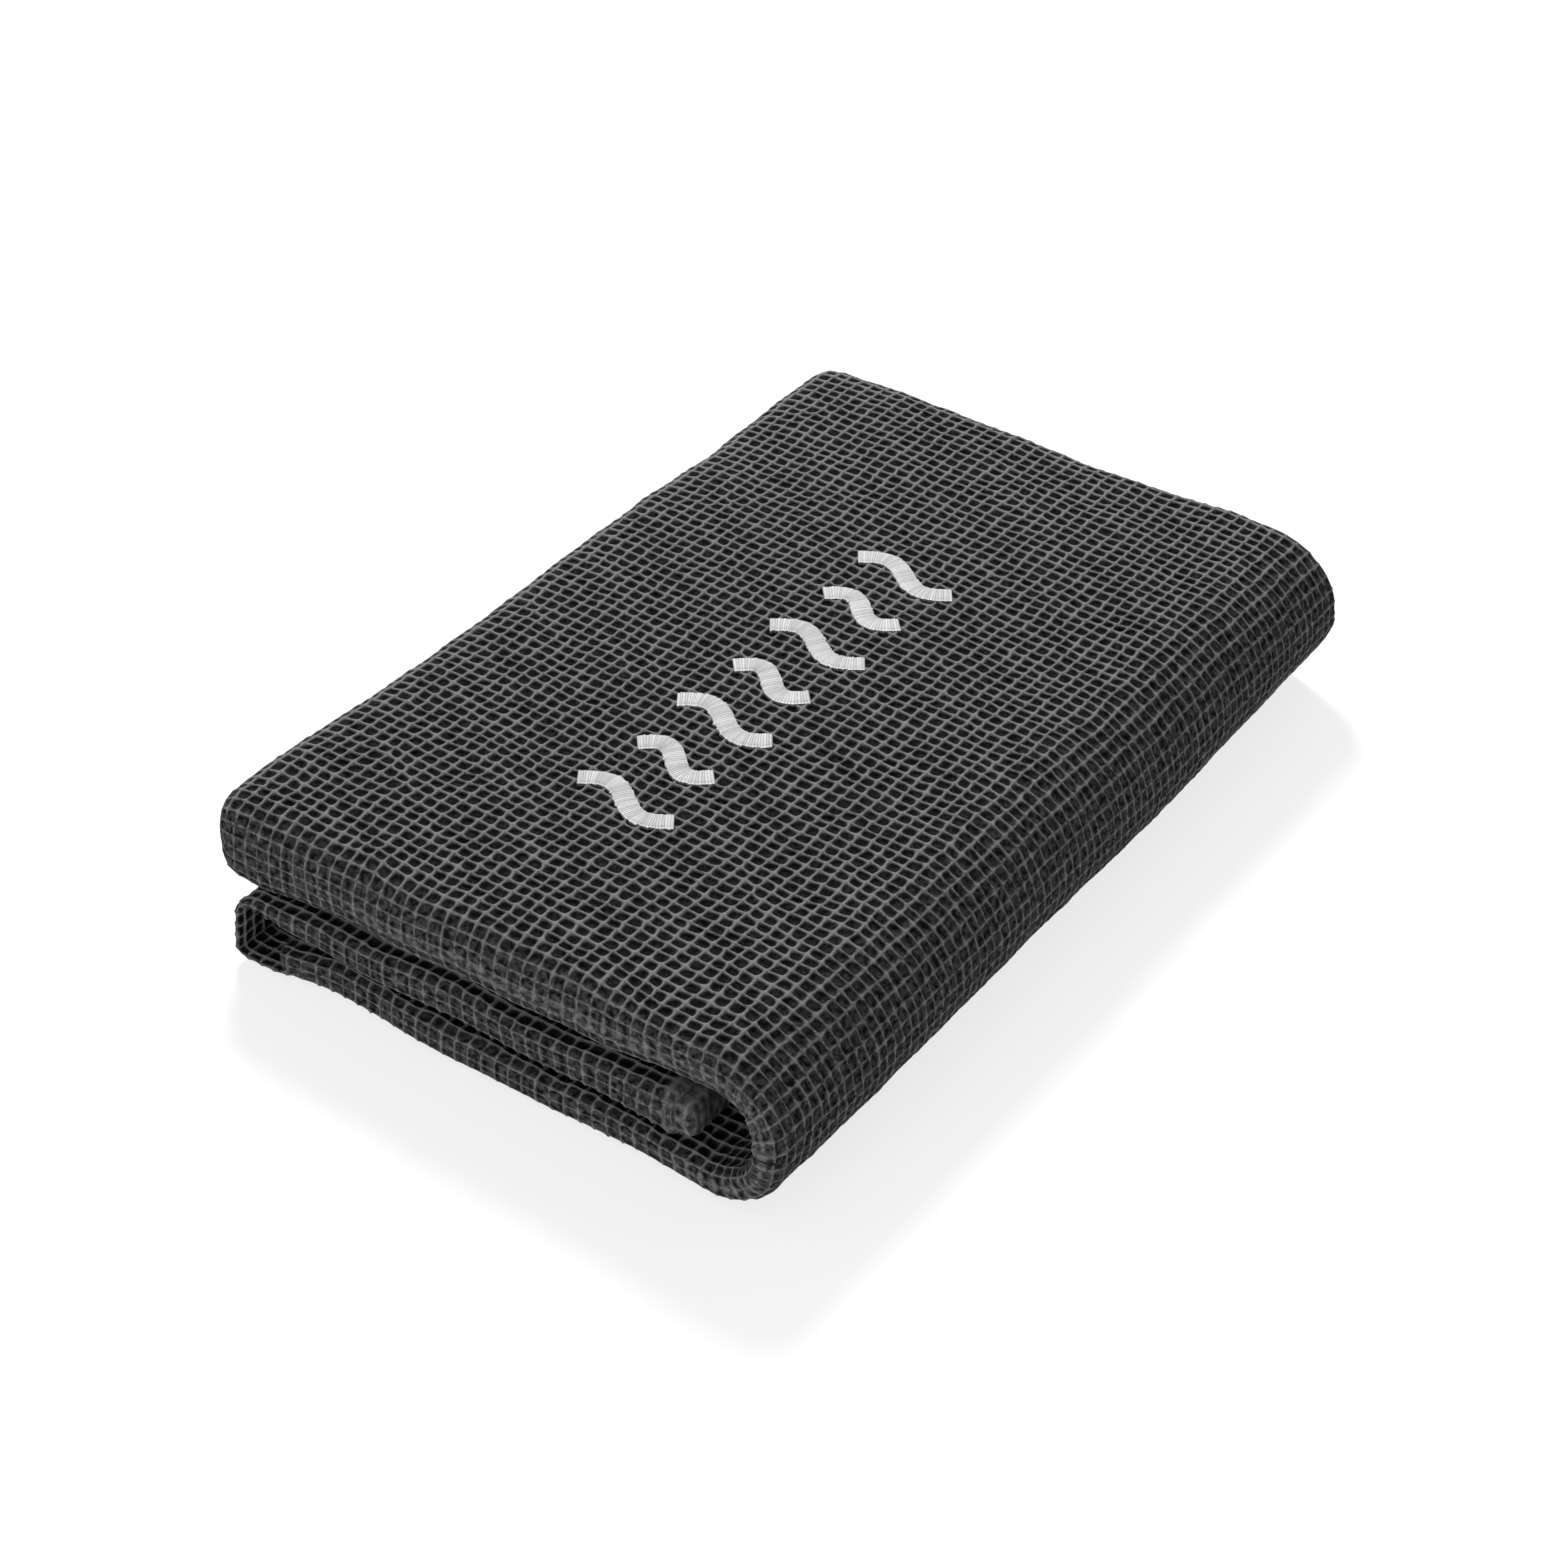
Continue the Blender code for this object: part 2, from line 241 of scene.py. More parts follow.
def plainClothFinish(name, look):
    # A fine plain weave on the piece's own coordinates: two crossed rows of threads and a mottle.
    constants = {"Roughness": look["roughness"], "Sheen Weight": look["sheen"]}
    material, shader, tree = newFinish(name, constants)
    place = tree.node("TexCoord", out="Object")
    parts = tree.node("SeparateXYZ", None, {"Vector": place})
    turn = 2 * math.pi / look["thread"]
    rows = [(parts.output(axis) * turn).sine() for axis in "XYZ"]
    mottle = tree.node("TexNoise", None, {"Vector": place, "Scale": look["scale"], "Detail": 4.0})
    height = rows[0] * rows[1] + rows[2] * 0.5 + mottle
    colour = mottle.blend(grey(look["dark"]), grey(look["light"]))
    bump = tree.node("Bump", None, {"Strength": 0.5, "Distance": 0.0001, "Height": height})
    plug(shader, tree, {"Base Color": colour, "Normal": bump})
    return material


plainLooks = {
    "hemCloth": {"roughness": 0.93, "sheen": 0.2, "thread": 0.0008, "scale": 420, "dark": 0.012, "light": 0.05},
    "sewingThread": {"roughness": 0.6, "sheen": 0.1, "thread": 0.0006, "scale": 900, "dark": 0.008, "light": 0.03},
    "backingCloth": {"roughness": 0.95, "sheen": 0.0, "thread": 0.0011, "scale": 300, "dark": 0.24, "light": 0.36},
    "labelSatin": {"roughness": 0.42, "sheen": 0.0, "thread": 0.0005, "scale": 200, "dark": 0.62, "light": 0.76},
}
plainCloths = {name: plainClothFinish(name, look) for name, look in plainLooks.items()}


def stitchFinish(name, look):
    # Satin thread: "thread" runs from 0 under the stitches, and half in a groove, to 1 on a crown. The darker grey
    # towards the grooves between threads is painted shade.
    constants = {"Roughness": look["roughness"], "Sheen Weight": look["sheen"]}
    constants["Specular IOR Level"] = look["gloss"]
    material, shader, tree = newFinish(name, constants)
    crown = tree.node("Attribute", {"attribute_name": "thread"}, out="Fac")
    place = tree.node("Attribute", {"attribute_name": "weaveAt"}, out="Vector")
    shift = tree.node("TexNoise", None, {"Vector": place, "Scale": 900.0, "Detail": 2.0})
    tone = (crown * (0.75 + 0.4 * shift)).clipped()
    colour = tone.blend(grey(look["groove"]), grey(look["crown"]))
    bump = tree.node("Bump", None, {"Strength": 0.35, "Distance": 0.0001, "Height": shift})
    plug(shader, tree, {"Base Color": colour, "Normal": bump})
    return material


# groove is the dark end of the thread's grey, neared in the grooves between threads as painted shade; crown is the
# crowns' own grey
stitchLook = {"roughness": 0.6, "sheen": 0.15, "gloss": 0.4, "groove": 0.015, "crown": 0.41}
satinStitch = stitchFinish("satinStitch", stitchLook)
print("finishes made", len(bpy.data.materials))


def edgeCurve(power, reach, count=400):
    # A quarter of |out|^power + |up|^power = 1, from the crown to the rim, with its share of arc
    # length, and its whole length when it reaches out so many times its height.
    turn = np.linspace(0, math.pi / 2, count)
    out, up = np.sin(turn) ** (2 / power), np.maximum(np.cos(turn), 0) ** (2 / power)
    step = np.hypot(np.diff(out) * reach, np.diff(up))
    along = np.concatenate([[0], np.cumsum(step)])
    return along / along[-1], out, up, along[-1]


def weaveLines(cells):
    # Sample places along one direction, in cells. It ends on a ridge, or in the middle of a cell.
    steps = np.array(weave["steps"])
    whole = int(cells)
    lines = (np.arange(whole)[:, None] + steps).ravel()
    last = whole + steps[steps <= cells - whole + 1e-9] if cells > whole else np.array([whole])
    return np.concatenate([lines, last])


def smooth(value, low, high):
    # 3 s squared less 2 s cubed, where s is the share of the way from low to high, kept in 0 to 1.
    share = np.clip((value - low) / (high - low), 0, 1)
    return share * share * (3 - 2 * share)


def tableValue(table, at):
    # A smooth curve through (place, value) pairs: each span is a smoothstep of the next.
    places, values = np.array(table, float).T
    k = np.clip(np.searchsorted(places, at) - 1, 0, len(places) - 2)
    share = smooth((at - places[k]) / (places[k + 1] - places[k]), 0.0, 1.0)
    return values[k] + (values[k + 1] - values[k]) * share


def softNoise(x, y, seed, pitch, count=9):
    # Sum of sine waves of random direction, whose length is about the pitch. It lies near -1 to 1.
    random = np.random.default_rng(seed)
    total = np.zeros(np.broadcast(x, y).shape)
    for _ in range(count):
        angle, phase = random.uniform(0, 2 * math.pi, 2)
        number = 2 * math.pi / (pitch * random.uniform(0.7, 1.5))
        total += np.sin((x * math.cos(angle) + y * math.sin(angle)) * number + phase)
    return total / math.sqrt(count)


def lineRun(line, at):
    # The unit direction of a line of x, z points, by the slope of each against its place.
    run = np.stack([np.gradient(line[:, k], at) for k in (0, 1)], 1)
    return run / np.linalg.norm(run, axis=1, keepdims=True)


def packSide(plan, along, across, side):
    # One face of a pack, as a height over its middle surface: flat inside, and rounded over its rim
    # by the edge curve. At a corner the square of cells is squeezed into a quarter disc.
    # Returns the points, the outward normals, and how far round the rim each point lies.
    total, wide = plan["alongCells"], plan["acrossCells"]
    left, right = plan["leftCells"], plan["rightCells"]
    atLeft = np.clip((left - along) / max(left, 1e-9), 0, 1)
    atRight = np.clip((along - total + right) / max(right, 1e-9), 0, 1)

    table = plan["stations"]  # columns: cells, top x, top z, bottom x, bottom z
    at = table[:, 0]
    top, bottom = table[:, 1:3], table[:, 3:5]
    middle, half = (top + bottom) / 2, (top - bottom) / 2
    here = np.clip(along, left, total - right)

    def pick(column):
        return np.interp(here, at, column)

    # the section changes from the pack's own to that of the spine, where two packs meet
    meeting = smooth(along, plan["meets"][0], plan["meets"][1]) if "meets" in plan else 0 * along
    ownPower = plan["power"][0 if side > 0 else 1]
    own, shared = edgeCurve(ownPower, plan["reach"]), edgeCurve(spinePower, spineReach)
    power = ownPower + (spinePower - ownPower) * meeting
    halfSize = np.hypot(pick(half[:, 0]), pick(half[:, 1]))
    reach = halfSize * (plan["reach"] + (spineReach - plan["reach"]) * meeting)
    quarter = halfSize * (own[3] + (shared[3] - own[3]) * meeting)
    front, far = frontY + plan["frontInset"] + reach, farY - plan["farInset"] - reach
    walked = across / wide * (far - front + 2 * quarter)
    atFront = np.clip((quarter - walked) / quarter, 0, 1)
    atFar = np.clip((walked - quarter - (far - front)) / quarter, 0, 1)
    endward, sideward = atLeft + atRight, atFront + atFar
    endSign, sideSign = np.where(atLeft > 0, -1.0, 1.0), np.where(atFront > 0, -1.0, 1.0)
    first = endward * np.sqrt(1 - sideward**2 / 2)
    second = sideward * np.sqrt(1 - endward**2 / 2)
    reachShare = np.hypot(first, second)
    safe = np.maximum(reachShare, 1e-9)
    first, second = first / safe, second / safe
    out, up = (
        np.interp(reachShare, own[0], own[k]) * (1 - meeting)
        + np.interp(reachShare, shared[0], shared[k]) * meeting
        for k in (1, 2)
    )

    run, faceRun = lineRun(middle, at), lineRun(top if side > 0 else bottom, at)
    flatY = np.clip(front + walked - quarter, front, far)
    endOut = halfSize * plan["endReach"] * out * first * endSign
    sideOut = reach * out * second * sideSign
    x = pick(middle[:, 0]) + pick(run[:, 0]) * endOut + side * pick(half[:, 0]) * up
    z = pick(middle[:, 1]) + pick(run[:, 1]) * endOut + side * pick(half[:, 1]) * up
    y = flatY + sideOut

    normalOut, normalUp = out ** (power - 1) / reach, up ** (power - 1) / halfSize
    size = np.hypot(normalOut, normalUp)
    normalOut, normalUp = normalOut / size, normalUp / size
    normalX = pick(run[:, 0]) * endSign * first * normalOut - side * pick(faceRun[:, 1]) * normalUp
    normalZ = pick(run[:, 1]) * endSign * first * normalOut + side * pick(faceRun[:, 0]) * normalUp
    normalY = sideSign * second * normalOut
    return np.stack([x, y, z], -1), np.stack([normalX, normalY, normalZ], -1), reachShare


def waffle(plan, along, across, side):
    # Depth below the ridges, from 0 to 1, is the product of two curves that rise from 0 on a ridge
    # to 1 at mid cell. Each cell has its own depth, and ridges sag between their crossings.
    random = np.random.default_rng(weave["seed"] + plan["seed"] + (0 if side > 0 else 500))
    cellAlong = np.minimum(along.astype(int), int(math.ceil(plan["alongCells"])) - 1)
    cellAcross = np.minimum(across.astype(int), int(plan["acrossCells"]) - 1)
    own = random.normal(0, 1, (int(plan["alongCells"]) + 2, int(plan["acrossCells"]) + 2))
    own = 1 + weave["depthSpread"] * np.clip(own, -1.8, 1.8)
    rise = [1 - np.abs(2 * (p - np.floor(p + 1e-9)) - 1) ** weave["bowl"] for p in (along, across)]
    pit = np.clip(rise[0] * rise[1], 0, 1) ** weave["sharpness"]
    crossings = (rise[0] + rise[1] - 2 * pit) * weave["ridgeSag"]
    depth = weave["depth"] * pit * own[cellAlong, cellAcross] + crossings
    return pit, depth


def packGrid(plan, side):
    # One face of a pack with its weave: each point sinks along the normal by its depth, less on the
    # rim and on plain bands, and strays a little along X and Y. Returns the points, what the finish
    # needs at each, and their places on the flat cloth.
    along, across = np.meshgrid(
        weaveLines(plan["alongCells"]), weaveLines(plan["acrossCells"]), indexing="ij"
    )
    points, normals, turned = packSide(plan, along, across, side)
    pit, depth = waffle(plan, along, across, side)
    band = plan["band"](along, across, side)
    turned = smooth(turned, 0.05, 0.8)
    # rims and the spine's side: weight of the finish's painted side shade, which also flattens the relief
    sideShade = np.maximum(turned, plan["sideShade"](along))
    depth = depth * (1 - weave["flatOnRim"] * sideShade) * (1 - weave["flatInBand"] * band)
    flatX, flatY = along * weave["cell"][0], across * weave["cell"][1]
    wander = [
        softNoise(flatX, flatY, plan["seed"] + k, weave["longWave"]) * weave["ridgeWander"][0]
        + softNoise(flatX, flatY, plan["seed"] + k + 2, weave["shortWave"]) * weave["ridgeWander"][1]
        for k in (1, 2)
    ]
    rim = np.minimum(np.minimum(along, across), plan["acrossCells"] - across)
    if plan["rightCells"]:
        rim = np.minimum(rim, plan["alongCells"] - along)
    wander = [w * smooth(rim, 0.0, 2.0) for w in wander]
    frayed = band * softNoise(flatX, flatY, plan["seed"] + 9, weave["frayWave"]) * plan["fray"]
    points = points - normals * (depth + frayed)[..., None]
    points[..., 0] += wander[0] * np.abs(normals[..., 2])
    points[..., 1] += wander[1] * np.hypot(normals[..., 0], normals[..., 2])
    place = np.stack([flatX, flatY, np.zeros_like(flatX)], -1)
    # for the finish: the depth, which sets the cells' grey and painted shade, and the weight of the painted side
    # shade
    shade = np.stack([pit * (1 - weave["greyInBand"] * band), sideShade, 0 * pit], -1)
    return plan["settle"](points, side), shade, place


def buildMesh(name, points, quads, triangles, corners=None):
    # Writes quads and triangles of point numbers into a new mesh. corners is one UV place a corner.
    mesh = bpy.data.meshes.new(name)
    loops = np.concatenate([quads.ravel(), triangles.ravel()]).astype(np.int32)
    sizes = np.concatenate([np.full(len(quads), 4), np.full(len(triangles), 3)]).astype(np.int32)
    mesh.vertices.add(len(points))
    mesh.vertices.foreach_set("co", points.astype(np.float32).ravel())
    mesh.loops.add(len(loops))
    mesh.loops.foreach_set("vertex_index", loops)
    mesh.polygons.add(len(sizes))
    mesh.polygons.foreach_set("loop_start", np.concatenate([[0], np.cumsum(sizes)[:-1]]).astype(np.int32))
    if corners is not None:
        layer = mesh.uv_layers.new(name="OFBake")
        layer.uv.foreach_set("vector", corners.astype(np.float32).ravel())
    mesh.update(calc_edges=True)
    mesh.validate()
    return mesh


def addPoints(mesh, name, kind, values):
    # Stores one value a point under a name that the finishes read.
    attribute = mesh.attributes.new(name, kind, "POINT")
    key = "vector" if kind == "FLOAT_VECTOR" else "value"
    attribute.data.foreach_set(key, values.astype(np.float32).ravel())


def addPiece(name, mesh, material):
    # Puts a mesh into the scene at the origin.
    mesh.materials.append(material)
    piece = bpy.data.objects.new(name, mesh)
    bpy.context.scene.collection.objects.link(piece)
    return piece


def buildPack(name, plan):
    # The two faces of a pack share their rim. An open right end gets a strip of faces between them.
    # The UV map lays the two faces side by side, with the strip between them.
    top, topPit, topPlace = packGrid(plan, 1)
    bottom, bottomPit, bottomPlace = packGrid(plan, -1)
    rows, columns = topPit.shape[:2]
    topIndex = np.arange(rows * columns).reshape(rows, columns)
    rim = np.zeros((rows, columns), bool)
    rim[0], rim[:, 0], rim[:, -1] = True, True, True
    if plan["rightCells"]:
        rim[-1] = True
    bottomIndex = topIndex.copy()
    bottomIndex[~rim] = rows * columns + np.arange((~rim).sum())
    points = np.concatenate([top.reshape(-1, 3), bottom[~rim]])

    def faces(index, turned):
        around = [index[:-1, :-1], index[1:, :-1], index[1:, 1:], index[:-1, 1:]]
        return np.stack(around[::-1] if turned else around, -1).reshape(-1, 4)

    atlas = np.stack(
        np.meshgrid(np.linspace(0.004, 0.49, rows), np.linspace(0.004, 0.996, columns), indexing="ij"), -1
    )
    quads = [faces(topIndex, False), faces(bottomIndex, True)]
    corners = [
        atlas.reshape(-1, 2)[faces(topIndex, False)],
        (atlas + (0.506, 0)).reshape(-1, 2)[faces(topIndex, True)],
    ]
    triangles, capCorners = np.zeros((0, 3), int), np.zeros((0, 2))
    if not plan["rightCells"]:
        upper, lower = topIndex[-1], bottomIndex[-1]
        quads.append(np.stack([upper[2:-1], upper[1:-2], lower[1:-2], lower[2:-1]], -1))
        heights = np.linspace(0.004, 0.996, columns)
        strip = [(0.4935, 2, -1), (0.4935, 1, -2), (0.4975, 1, -2), (0.4975, 2, -1)]
        corners.append(
            np.stack([np.stack([np.full(columns - 3, u), heights[a:b]], -1) for u, a, b in strip], 1)
        )
        triangles = np.array(
            [[upper[1], upper[0], lower[1]], [upper[-1], upper[-2], lower[-2]]]
        )
        capCorners = np.array(
            [[0.4935, 0.006], [0.4935, 0.004], [0.4975, 0.006], [0.4935, 0.996], [0.4935, 0.994], [0.4975, 0.994]]
        )
    uv = np.concatenate([c.reshape(-1, 2) for c in corners] + [capCorners])
    mesh = buildMesh(name, points, np.concatenate(quads), triangles, uv)
    addPoints(mesh, "pit", "FLOAT_VECTOR", np.concatenate([topPit.reshape(-1, 3), bottomPit[~rim]]))
    addPoints(mesh, "weaveAt", "FLOAT_VECTOR", np.concatenate([topPlace.reshape(-1, 3), bottomPlace[~rim]]))
    mesh.shade_smooth()
    if not plan["rightCells"]:  # the strip is hidden, and mustn't turn the normals beside it
        ends = np.zeros(len(points), bool)
        ends[topIndex[-1]] = ends[bottomIndex[-1]] = True
        pairs = np.zeros(len(mesh.edges) * 2, np.int32)
        mesh.edges.foreach_get("vertices", pairs)
        sharp = ends[pairs.reshape(-1, 2)].all(1)
        mesh.attributes.new("sharp_edge", "BOOLEAN", "EDGE").data.foreach_set("value", sharp)
    return addPiece(name, mesh, waffleCloth)


settled = {
    # place along Y, and how far the spine lies inside its box there
    "spine": [(-0.198, -0.0006), (-0.15, -0.0008), (0.0, -0.0028), (0.12, -0.0045), (0.198, -0.0052)],
    # place along Y, and how far the cover's free fold lies inside its box there
    "coverLeft": [
        (-0.198, 0.0026),
        (-0.165, 0.0018),
        (-0.11, 0.0046),
        (-0.04, 0.0046),
        (0.03, 0.0022),
        (0.1, 0.0022),
        (0.15, 0.0004),
        (0.198, 0.0016),
    ],
    # place along X, and how far the lower packs stand out in front there
    "lowerFront": [(-0.120, 0.0062), (-0.100, 0.0052), (-0.070, 0.0022), (0.0, 0.0018), (0.075, 0.0)],
    "swell": 0.0007,  # long low waves in the cover
    "edgeSwell": 0.0010,  # waves of the front and far edges
    "spineFrontOut": 0.0016,  # how far the foot of the spine stands out in front
    "spineFarIn": 0.0032,  # how far the foot of the spine draws in at its far end
}


def settleStack(points, onTop=False):
    # Moves points by smooth tables and waves: the spine narrows away from the front, and the edges
    # and the top rise and fall a little.
    x, y, z = points[..., 0], points[..., 1], points[..., 2]
    spineWeight = smooth(x, 0.05, 0.12)
    moved = points.copy()
    moved[..., 0] += tableValue(settled["spine"], y) * spineWeight
    height = smooth(z, 0.004, 0.03)
    nearEdge = smooth(np.abs(y), 0.15, 0.195)
    swell = 1.0 + softNoise(x, z * 2.5, 31 if onTop else 32, 0.075)
    moved[..., 1] -= np.sign(y) * nearEdge * settled["edgeSwell"] * swell
    low = 1 - smooth(z, 0.015, 0.05)
    moved[..., 1] -= settled["spineFrontOut"] * smooth(x, 0.04, 0.09) * low * smooth(-y, 0.15, 0.195)
    moved[..., 0] -= settled["spineFarIn"] * spineWeight * low * smooth(y, 0.08, 0.19)
    moved[..., 2] += height * settled["swell"] * (softNoise(x, y, 37, 0.13) - 0.9)
    return moved


coverShape = {
    "leftCells": 4,  # cells round the left end, along the flat, and round half the spine
    "flatCells": 36,
    "spineCells": 8.5,
    "power": (2.4, 3.6),  # of the rim's curve, on the top face and on the underside
    "reach": 0.9,  # how far the front and far rims reach out, over half the thickness
    "endReach": 0.9,  # the same of the left end
    # place along X, and the height of the top and the underside there
    "top": [(-0.1355, 0.0664), (-0.105, 0.0674), (-0.05, 0.0680), (0.1015, 0.0680)],
    "underside": [
        (-0.1355, 0.0318),
        (-0.112, 0.0325),
        (-0.088, 0.0352),
        (-0.05, 0.0370),
        (0.0, 0.0388),
        (0.05, 0.0425),
        (0.08, 0.0445),
        (0.1015, 0.0445),
    ],
}
spinePower, spineReach = 2.7, 0.9  # section of the spine's rim: its power, and reach over height
cellsAcross = 83  # from the rim's front line over the top to its far line
hollowTop = coverShape["underside"][-1][1]
hollowMiddle, hollowHalf = (hollowTop + leafHeight) / 2, (hollowTop - leafHeight) / 2
hollowDepth = 0.0190  # from the axis of the spine to the far end of its hollow
hollowPower = 2.5


def spineStations(cells, turnStart, turnEnd):
    # Half of the spine: the outside is part of a circle. The inside is part of
    # |out|^power + |up|^power = 1, a boxier hollow.
    turn = np.linspace(turnStart, turnEnd, len(cells))
    innerOut = np.abs(np.cos(turn)) ** (2 / hollowPower)
    innerUp = np.sign(np.sin(turn)) * np.abs(np.sin(turn)) ** (2 / hollowPower)
    outer = np.stack([spineX + spineRadius * np.cos(turn), spineRadius + spineRadius * np.sin(turn)], 1)
    inner = np.stack([spineX + hollowDepth * innerOut, hollowMiddle + hollowHalf * innerUp], 1)
    return outer, inner


def leafStations(shape, start, turnStart):
    # Stations of a leaf: along its tables from a start to the spine, then half way round the spine.
    # The cover turns down and has the spine's outside on top. The base turns up.
    left, flat, spine = (shape[k] for k in ("leftCells", "flatCells", "spineCells"))
    flatAt = np.linspace(left, left + flat, 60)[:-1]
    x = start + (spineX - start) * (flatAt - left) / flat
    flatTop = np.stack([x, tableValue(shape["top"], x)], 1)
    flatBottom = np.stack([x, tableValue(shape["underside"], x)], 1)
    spineAt = np.linspace(left + flat, left + flat + spine, 30)
    outer, inner = spineStations(spineAt, turnStart, 0.0)
    high, low = (outer, inner) if turnStart > 0 else (inner, outer)
    at = np.concatenate([flatAt, spineAt])
    return np.column_stack([at, np.concatenate([flatTop, high]), np.concatenate([flatBottom, low])])


def endHeight(shape):  # thickness of a leaf's left end
    return shape["top"][0][1] - shape["underside"][0][1]


def settleLower(points, side):
    # The base and the flap stand out in front of the cover, most at the left fold.
    moved = settleStack(points)
    moved[..., 1] -= tableValue(settled["lowerFront"], points[..., 0]) * smooth(-points[..., 1], 0.12, 0.19)
    return moved


def settleCover(points, side):
    # The free fold of the cover lies a little inside its box, by its table.
    moved = settleStack(points, True)
    leftWeight = 1 - smooth(points[..., 0], -0.125, 0.02)
    moved[..., 0] += tableValue(settled["coverLeft"], points[..., 1]) * leftWeight
    return moved


def spineBand(along, across, spineStart):
    # The weave is pulled flat in a narrow band where it turns round the ends of the spine.
    nearSpine = smooth(along, spineStart - 9, spineStart + 1)
    fromRim = np.minimum(across, cellsAcross - across)
    return nearSpine * (1 - smooth(fromRim, 0.25, 1.3))


def coverBand(along, across, side):
    # The spine's band, and the plain edge under the cover's front face, which widens to the right.
    plainEdge = smooth(along, 6, 16) * (1 - smooth(across, 0.9, 1.5)) if side < 0 else 0 * along
    return np.maximum(spineBand(along, across, 40), plainEdge)


coverPlan = {
    **coverShape,
    "alongCells": coverShape["leftCells"] + coverShape["flatCells"] + coverShape["spineCells"],
    "acrossCells": cellsAcross,
    "rightCells": 0,
    "frontInset": 0.0,
    "farInset": -0.0008,
    "stations": leafStations(coverShape, leftX + endHeight(coverShape) / 2 * coverShape["reach"], math.pi / 2),
    "meets": (32.0, 46.0),  # the cells over which its section becomes the spine's
    "settle": settleCover,
    "band": coverBand,
    "fray": 0.00035,
    # painted shade over the spine's side
    "sideShade": lambda along: 0.85 * smooth(along, 39, 46),
    "seed": 100,
}
coverPack = buildPack("coverPack", coverPlan)
print("cover pack", len(coverPack.data.polygons), "faces")

baseShape = {
    "leftCells": 2,
    "flatCells": 31,
    "spineCells": 8.5,
    "power": (3.2, 3.6),
    "reach": 0.9,
    "endReach": 0.9,
    # place along X, and the height of the top and the underside there
    "top": [(-0.0965, 0.0135), (-0.07, 0.0157), (0.1015, 0.0157)],
    "underside": [(-0.0965, 0.0030), (-0.088, 0.0012), (-0.07, 0.0), (0.1015, 0.0)],
}
basePlan = {
    **baseShape,
    "alongCells": baseShape["leftCells"] + baseShape["flatCells"] + baseShape["spineCells"],
    "acrossCells": cellsAcross,
    "rightCells": 0,
    "frontInset": 0.0,
    "farInset": -0.0008,
    "stations": leafStations(baseShape, leafLeft + endHeight(baseShape) / 2, -math.pi / 2),
    "meets": (25.0, 39.0),
    "settle": settleLower,
    "band": lambda along, across, side: spineBand(along, across, 33),
    "fray": 0.00035,
    # painted shade over the spine's side
    "sideShade": lambda along: 0.85 * smooth(along, 32, 39),
    "seed": 200,
}
basePack = buildPack("basePack", basePlan)
print("base pack", len(basePack.data.polygons), "faces")

flapShape = {
    "leftCells": 1,
    "rightCells": 2,
    "power": (3.6, 3.6),
    "reach": 0.85,
    "endReach": 0.45,
    "lean": 0.0035,  # how much further right the lower edge of the right end lies
    # the strip from its end inside the base round the left fold to the flap's end: middle and thickness
    "strip": [
        (-0.0860, 0.0050, 0.0030),
        (-0.0930, 0.0034, 0.0036),
        (-0.1020, 0.0027, 0.0040),
        (-0.1110, 0.0031, 0.0042),
        (-0.1147, 0.0052, 0.0042),
        (-0.1141, 0.0120, 0.0042),
        (-0.1132, 0.0200, 0.0042),
        (-0.1126, 0.0262, 0.0042),
        (-0.1092, 0.0302, 0.0044),
        (-0.1030, 0.0312, 0.0066),
        (-0.0850, 0.0298, 0.0110),
        (-0.0600, 0.0278, 0.0158),
        (-0.0200, 0.0276, 0.0170),
        (0.0300, 0.0279, 0.0174),
        (0.0600, 0.0284, 0.0174),
        (0.0850, 0.0286, 0.0170),
    ],
}


def softLine(known, count):
    # A smooth line through rows of x, z and thickness (Catmull-Rom), evenly spaced, and its length.
    padded = np.concatenate([[2 * known[0] - known[1]], known, [2 * known[-1] - known[-2]]])
    share = np.linspace(0, 1, 24, endpoint=False)[:, None]
    spans = []
    for a, b, c, d in zip(padded, padded[1:], padded[2:], padded[3:]):
        bend, twist = 2 * a - 5 * b + 4 * c - d, 3 * b - a - 3 * c + d
        spans.append(0.5 * (2 * b + (c - a) * share + bend * share**2 + twist * share**3))
    line = np.concatenate([*spans, known[-1:]])
    along = np.concatenate([[0], np.cumsum(np.linalg.norm(np.diff(line[:, :2], axis=0), axis=1))])
    even = np.linspace(0, along[-1], count)
    return np.stack([np.interp(even, along, line[:, k]) for k in range(3)], 1), along[-1]


def stripStations(strip, cellsBefore):
    # Stations of a strip: half its thickness to each side of its middle line, square to it.
    places, length = softLine(np.array(strip), 160)
    cells = round(length / weave["cell"][0])
    at = np.linspace(cellsBefore, cellsBefore + cells, len(places))
    run = lineRun(places, at)
    normal = np.stack([-run[:, 1], run[:, 0]], 1)
    half = places[:, 2:3] / 2
    return np.column_stack([at, places[:, :2] + normal * half, places[:, :2] - normal * half]), cells


flapStations, flapCells = stripStations(flapShape["strip"], flapShape["leftCells"])


def settleFlap(points, side):
    # The flap's right end leans: its lower edge reaches further right than its upper edge.
    moved = settleLower(points, side)
    lean = smooth(points[..., 0], 0.075, 0.093) * (1 - smooth(points[..., 2], 0.019, 0.034))
    moved[..., 0] += lean * flapShape["lean"]
    return moved


